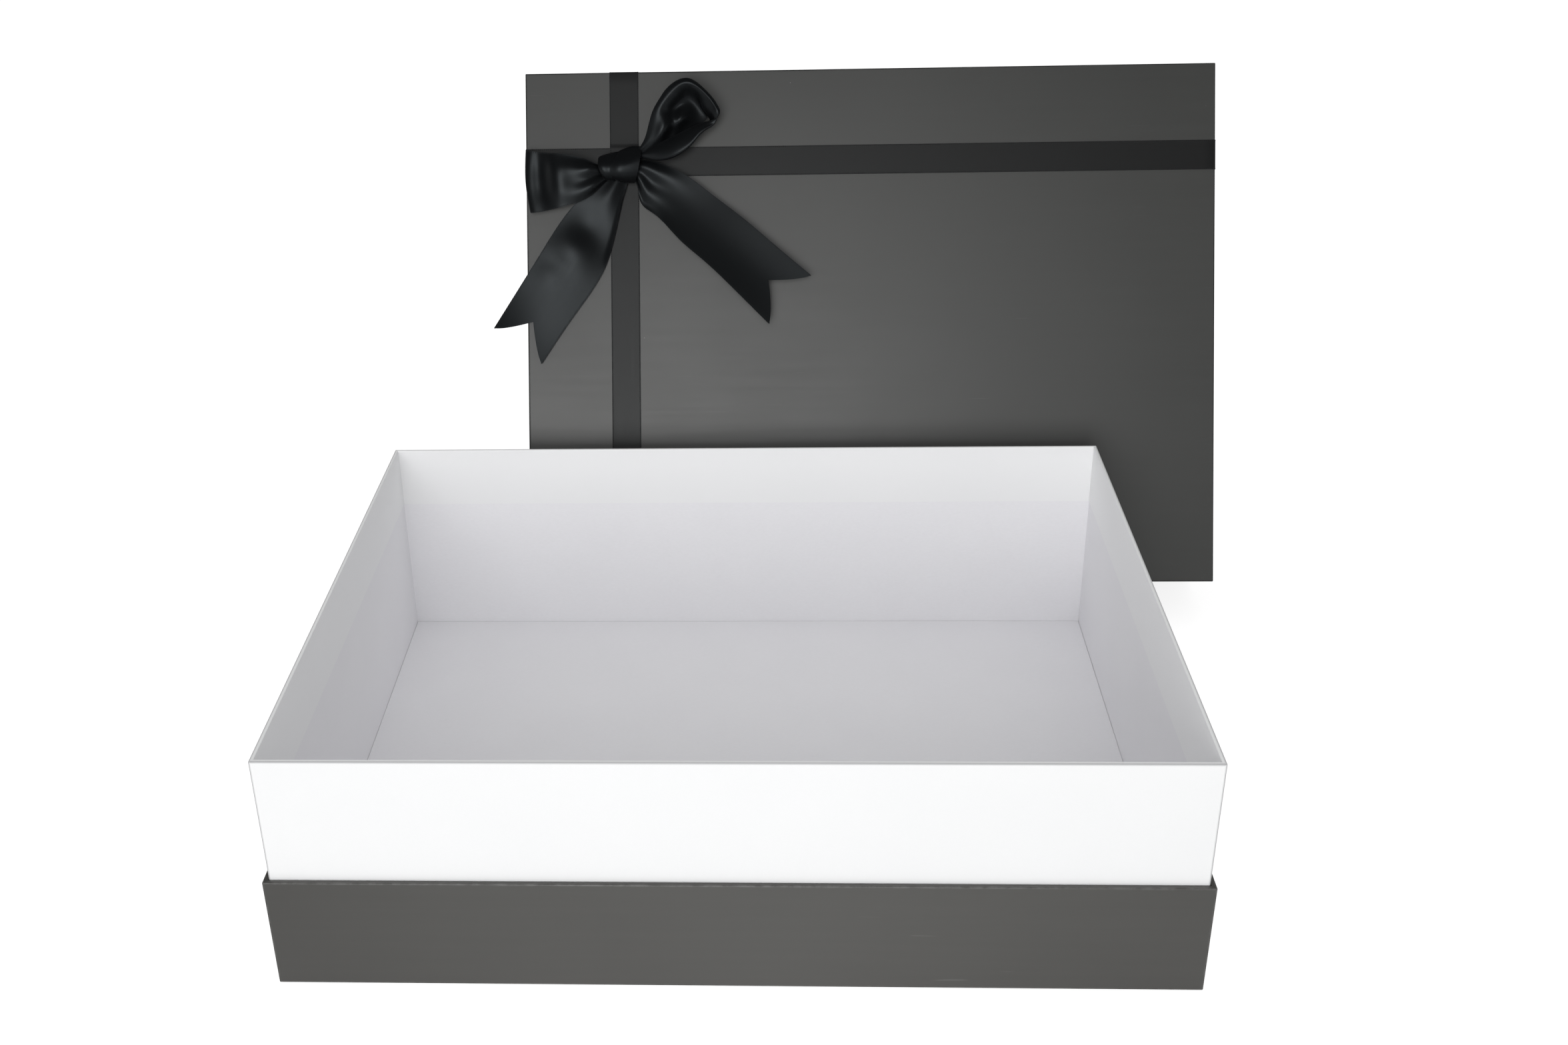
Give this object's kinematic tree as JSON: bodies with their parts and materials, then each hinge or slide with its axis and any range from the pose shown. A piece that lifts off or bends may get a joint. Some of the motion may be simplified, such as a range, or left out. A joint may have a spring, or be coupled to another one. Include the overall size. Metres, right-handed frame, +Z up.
{
  "type": "gift box",
  "caption": "Rigid board gift box: dark paper-wrapped base with a white neck standing up inside it, and a lift-off dark lid dressed with satin bands and a tied bow.",
  "frame": {"origin": "middle of the base's underside, on the surface that the base stands on", "axes": "+X along the box's length, +Y towards the back where the lid leans, +Z up"},
  "size_m": [0.4733, 0.4826, 0.3046],
  "materials": {
    "charcoal_paper": "matte laminated paper",
    "white_paper": "smooth white coated paper",
    "white_board": "white-lined board, uncoated",
    "greyboard": "raw greyboard",
    "stay_tape": "gummed kraft paper tape",
    "band_satin": "black satin with woven edges",
    "bow_satin": "glossy black satin with woven edges",
    "adhesive": "clear adhesive dot"
  },
  "bodies": {
    "base": {"base_board": "greyboard", "base_corner_stays": "stay_tape", "base_wrap": "charcoal_paper", "neck_board": "white_board", "neck_wrap": "white_paper", "floor_panel": "white_board"},
    "lid": {"lid_board": "greyboard", "lid_corner_stays": "stay_tape", "lid_wrap": "charcoal_paper", "lid_liner": "white_paper", "ribbon_long": "band_satin", "ribbon_cross": "band_satin", "bow_glue_pad": "adhesive", "bow_knot": "bow_satin", "bow_loop_left": "bow_satin", "bow_loop_upper": "bow_satin", "bow_tail_left": "bow_satin", "bow_tail_right": "bow_satin"}
  },
  "joints": [
    {"name": "lid_lift", "type": "slide", "parent": "base", "child": "lid", "axis": [0, 0, 1], "range_m": [0, 0.3]}
  ]
}
